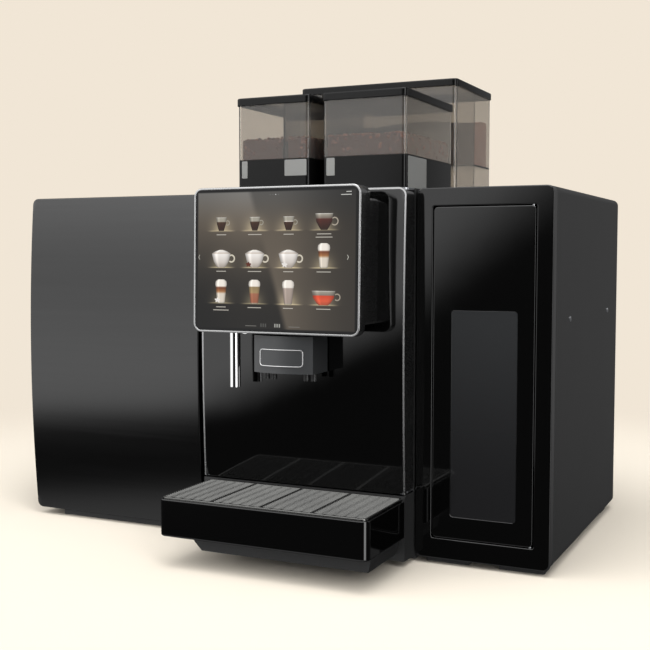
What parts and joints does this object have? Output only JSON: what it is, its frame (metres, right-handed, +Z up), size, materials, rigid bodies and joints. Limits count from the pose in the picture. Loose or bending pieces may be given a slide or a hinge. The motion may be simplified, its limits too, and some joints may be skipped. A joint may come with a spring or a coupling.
{
  "type": "hot coffee vending machine",
  "caption": "Self-service bean-to-cup coffee machine with touch display, adjustable spout, drip tray and hoppers, between a milk cooler and a syrup cabinet.",
  "frame": {"origin": "on the floor under the middle of the footprint", "axes": "+X along the front to the right as the user sees it, +Y to the back, +Z up"},
  "size_m": [0.902, 0.662, 0.744],
  "materials": {
    "cabinet_paint": "satin black powder coat",
    "dark_brushed": "dark brushed, satin",
    "black_gloss": "high gloss black",
    "smoked_glass": "smoked",
    "clear_plastic": "clear, lightly smoked",
    "aluminium_trim": "satin anodised",
    "cast_aluminium": "as cast",
    "screen_glass": "gloss",
    "spout_grey": "satin dark grey",
    "chrome": "mirror",
    "steel": "brushed",
    "zinc_steel": "zinc plated",
    "rubber": "matte",
    "light_plastic": "moulded",
    "black_plastic": "moulded",
    "milky_plastic": "translucent white",
    "hose": "silicone",
    "coffee": "roasted",
    "syrup": "filled bottle",
    "board": "solder mask"
  },
  "bodies": {
    "chassis": {"cooler_cabinet": "cabinet_paint", "cooler_liner": "light_plastic", "cooler_hinges": "zinc_steel", "milk_container": "milky_plastic", "milk_container_lid": "milky_plastic", "milk_hose": "hose", "cooler_compressor": "black_plastic", "cooler_plinth": "black_plastic", "syrup_cabinet": "cabinet_paint", "syrup_fascia": "black_gloss", "syrup_bottles": "syrup", "syrup_caps": "black_plastic", "syrup_pumps": "black_plastic", "side_screws": "zinc_steel", "base_pan": "cabinet_paint", "left_side_panel": "cabinet_paint", "right_side_panel": "cabinet_paint", "rear_panel": "cabinet_paint", "top_deck": "cabinet_paint", "feet": "rubber", "link_plates": "zinc_steel", "door_hinges": "zinc_steel", "bean_hopper_left": "clear_plastic", "bean_hopper_right": "clear_plastic", "powder_hopper": "clear_plastic", "powder_bin": "clear_plastic", "hopper_bases": "black_gloss", "hopper_fill": "coffee", "grinder_housings": "cast_aluminium", "brew_unit": "black_plastic", "boiler": "cast_aluminium", "control_board": "board", "grounds_container": "black_plastic", "cable_gland": "black_plastic", "syrup_hinge_pins": "zinc_steel"},
    "cooler_door_leaf": {"cooler_door": "dark_brushed", "cooler_door_liner": "light_plastic", "cooler_door_seal": "rubber"},
    "cooler_fan_wheel": {"cooler_fan": "black_plastic"},
    "syrup_door_leaf": {"syrup_door": "black_gloss", "syrup_window": "smoked_glass"},
    "machine_door_leaf": {"front_door": "cast_aluminium", "door_glass": "black_gloss", "door_trim": "aluminium_trim", "display_housing": "aluminium_trim", "display_glass": "screen_glass", "spout_rail": "black_plastic", "hot_water_tube": "chrome"},
    "spout": {"spout_housing": "spout_grey", "spout_badge": "chrome", "spout_nozzles": "black_plastic"},
    "tray": {"drip_tray": "black_gloss"},
    "grid": {"drip_grid": "steel"},
    "left_lid": {"bean_lid_left": "black_gloss"},
    "right_lid": {"bean_lid_right": "black_gloss"},
    "rear_lid": {"powder_lid": "black_gloss"},
    "left_burr": {"burr_left": "steel"},
    "right_burr": {"burr_right": "steel"},
    "piston": {"brew_piston": "black_plastic"},
    "rocker": {"mains_switch": "black_plastic"}
  },
  "joints": [
    {"name": "cooler_door_hinge", "type": "hinge", "parent": "chassis", "child": "cooler_door_leaf", "pos_m": [-0.443, -0.127, 0.273], "axis": [0, 0, -1], "range_deg": [0, 110]},
    {"name": "machine_door_hinge", "type": "hinge", "parent": "chassis", "child": "machine_door_leaf", "pos_m": [0.24, -0.167, 0.273], "axis": [0, 0, 1], "range_deg": [0, 100]},
    {"name": "syrup_door_hinge", "type": "hinge", "parent": "chassis", "child": "syrup_door_leaf", "pos_m": [0.421, -0.143, 0.273], "axis": [0, 0, 1], "range_deg": [0, 90]},
    {"name": "spout_height", "type": "slide", "parent": "machine_door_leaf", "child": "spout", "axis": [0, 0, 1], "range_m": [-0.095, 0]},
    {"name": "tray_slide", "type": "slide", "parent": "chassis", "child": "tray", "axis": [0, -1, 0], "range_m": [0, 0.14]},
    {"name": "grid_lift", "type": "slide", "parent": "tray", "child": "grid", "axis": [0, 0, 1], "range_m": [0, 0.06]},
    {"name": "left_lid_lift", "type": "slide", "parent": "chassis", "child": "left_lid", "axis": [0, 0, 1], "range_m": [0, 0.08]},
    {"name": "right_lid_lift", "type": "slide", "parent": "chassis", "child": "right_lid", "axis": [0, 0, 1], "range_m": [0, 0.08]},
    {"name": "rear_lid_lift", "type": "slide", "parent": "chassis", "child": "rear_lid", "axis": [0, 0, 1], "range_m": [0, 0.08]},
    {"name": "left_burr_spin", "type": "hinge", "parent": "chassis", "child": "left_burr", "pos_m": [-0.0025, -0.037, 0.524], "axis": [0, 0, 1], "continuous": true},
    {"name": "right_burr_spin", "type": "hinge", "parent": "chassis", "child": "right_burr", "pos_m": [0.1515, -0.037, 0.524], "axis": [0, 0, 1], "continuous": true},
    {"name": "piston_stroke", "type": "slide", "parent": "chassis", "child": "piston", "axis": [0, 0, -1], "range_m": [0, 0.045]},
    {"name": "fan_spin", "type": "hinge", "parent": "chassis", "child": "cooler_fan_wheel", "pos_m": [-0.282, 0.227, 0.33], "axis": [0, 1, 0], "continuous": true},
    {"name": "mains_rocker", "type": "hinge", "parent": "chassis", "child": "rocker", "pos_m": [-0.044, 0.321, 0.12], "axis": [1, 0, 0], "range_deg": [0, 14]}
  ]
}
